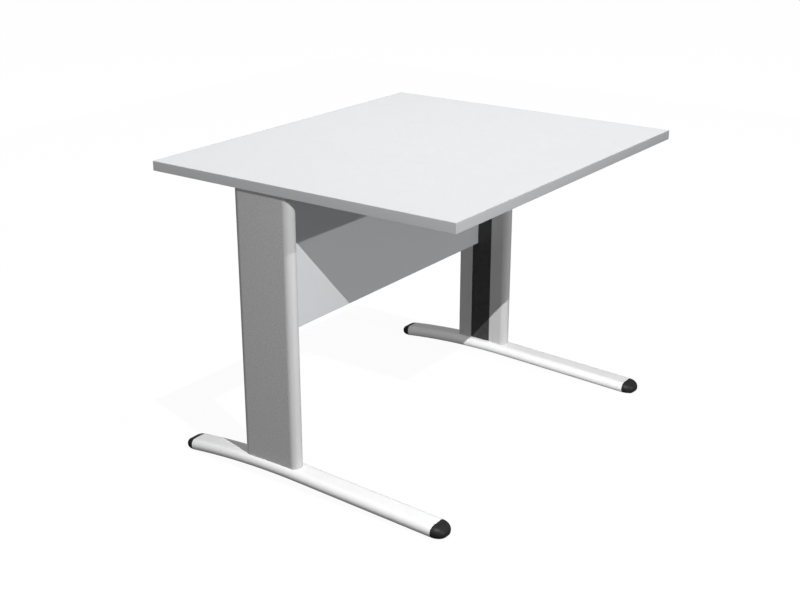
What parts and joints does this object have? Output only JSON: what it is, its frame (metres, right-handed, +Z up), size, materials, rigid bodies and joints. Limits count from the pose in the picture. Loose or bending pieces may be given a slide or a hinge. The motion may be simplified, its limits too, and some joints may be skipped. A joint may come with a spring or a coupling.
{
  "type": "office desk",
  "caption": "Office desk: rectangular laminate top on two C-shaped steel legs with arched feet, cable ducts in the columns, a modesty panel and levelling feet.",
  "frame": {"origin": "on the floor, under the middle of the top", "axes": "+X to the right of the person sitting at the desk, along its width; +Y away from the person; +Z up"},
  "size_m": [1, 0.85, 0.742],
  "materials": {
    "chipboard": "matte, pressed wood chips",
    "top_laminate": "satin light grey high-pressure laminate",
    "edge_band": "satin light grey edging",
    "panel_board": "satin light grey melamine on chipboard",
    "hidden_steel": "satin grey powder coat",
    "zinc_steel": "bright zinc plated",
    "column_paint": "fine-textured silver powder coat",
    "foot_paint": "smooth light silver enamel",
    "black_plastic": "fine-grained black plastic",
    "cap_plastic": "satin black moulded plastic",
    "brass": "turned brass",
    "pad_plastic": "matt black moulded plastic"
  },
  "bodies": {
    "root": {"tabletop_core": "chipboard", "tabletop_laminate_upper": "top_laminate", "tabletop_laminate_lower": "top_laminate", "edge_band_front": "edge_band", "edge_band_back": "edge_band", "edge_band_left": "edge_band", "edge_band_right": "edge_band", "panel_edge_bands": "edge_band", "modesty_panel": "panel_board", "panel_brackets": "hidden_steel", "support_arm_left": "hidden_steel", "support_arm_right": "hidden_steel", "column_top_plate_left": "hidden_steel", "column_top_plate_right": "hidden_steel", "column_base_plate_left": "hidden_steel", "column_base_plate_right": "hidden_steel", "foot_sleeves": "hidden_steel", "panel_screws": "zinc_steel", "bracket_bolts": "zinc_steel", "arm_screws": "zinc_steel", "arm_bolts": "zinc_steel", "rivet_nuts": "zinc_steel", "foot_bolts": "zinc_steel", "foot_washers": "zinc_steel", "column_left": "column_paint", "column_right": "column_paint", "foot_tube_left": "foot_paint", "foot_tube_right": "foot_paint", "upper_cable_cover_left": "black_plastic", "upper_cable_cover_right": "black_plastic", "end_cap_front_left": "cap_plastic", "end_cap_front_right": "cap_plastic", "end_cap_rear_left": "cap_plastic", "end_cap_rear_right": "cap_plastic", "leveller_inserts": "brass"},
    "cover_left": {"lower_cable_cover_left": "black_plastic"},
    "cover_right": {"lower_cable_cover_right": "black_plastic"},
    "pad_front_left": {"leveller_pad_front_left": "pad_plastic"},
    "screw_front_left": {"leveller_screw_front_left": "zinc_steel"},
    "pad_front_right": {"leveller_pad_front_right": "pad_plastic"},
    "screw_front_right": {"leveller_screw_front_right": "zinc_steel"},
    "pad_rear_left": {"leveller_pad_rear_left": "pad_plastic"},
    "screw_rear_left": {"leveller_screw_rear_left": "zinc_steel"},
    "pad_rear_right": {"leveller_pad_rear_right": "pad_plastic"},
    "screw_rear_right": {"leveller_screw_rear_right": "zinc_steel"}
  },
  "joints": [
    {"name": "cover_left_pull", "type": "slide", "parent": "root", "child": "cover_left", "axis": [1, 0, 0], "range_m": [0, 0.04]},
    {"name": "cover_right_pull", "type": "slide", "parent": "root", "child": "cover_right", "axis": [-1, 0, 0], "range_m": [0, 0.04]},
    {"name": "pad_front_left_travel", "type": "slide", "parent": "root", "child": "pad_front_left", "axis": [0, 0, -1], "range_m": [0, 0.01]},
    {"name": "screw_front_left_turn", "type": "hinge", "parent": "pad_front_left", "child": "screw_front_left", "pos_m": [-0.47, -0.37819, 0.01], "axis": [0, 0, -1], "range_deg": [0, 2880]},
    {"name": "pad_front_right_travel", "type": "slide", "parent": "root", "child": "pad_front_right", "axis": [0, 0, -1], "range_m": [0, 0.01]},
    {"name": "screw_front_right_turn", "type": "hinge", "parent": "pad_front_right", "child": "screw_front_right", "pos_m": [0.47, -0.37819, 0.01], "axis": [0, 0, -1], "range_deg": [0, 2880]},
    {"name": "pad_rear_left_travel", "type": "slide", "parent": "root", "child": "pad_rear_left", "axis": [0, 0, -1], "range_m": [0, 0.01]},
    {"name": "screw_rear_left_turn", "type": "hinge", "parent": "pad_rear_left", "child": "screw_rear_left", "pos_m": [-0.47, 0.36606, 0.01], "axis": [0, 0, -1], "range_deg": [0, 2880]},
    {"name": "pad_rear_right_travel", "type": "slide", "parent": "root", "child": "pad_rear_right", "axis": [0, 0, -1], "range_m": [0, 0.01]},
    {"name": "screw_rear_right_turn", "type": "hinge", "parent": "pad_rear_right", "child": "screw_rear_right", "pos_m": [0.47, 0.36606, 0.01], "axis": [0, 0, -1], "range_deg": [0, 2880]}
  ],
  "couplings": [
    {"joint": "pad_front_left_travel", "follows": "screw_front_left_turn", "m_per_rad": 0.00019894},
    {"joint": "pad_front_right_travel", "follows": "screw_front_right_turn", "m_per_rad": 0.00019894},
    {"joint": "pad_rear_left_travel", "follows": "screw_rear_left_turn", "m_per_rad": 0.00019894},
    {"joint": "pad_rear_right_travel", "follows": "screw_rear_right_turn", "m_per_rad": 0.00019894}
  ]
}
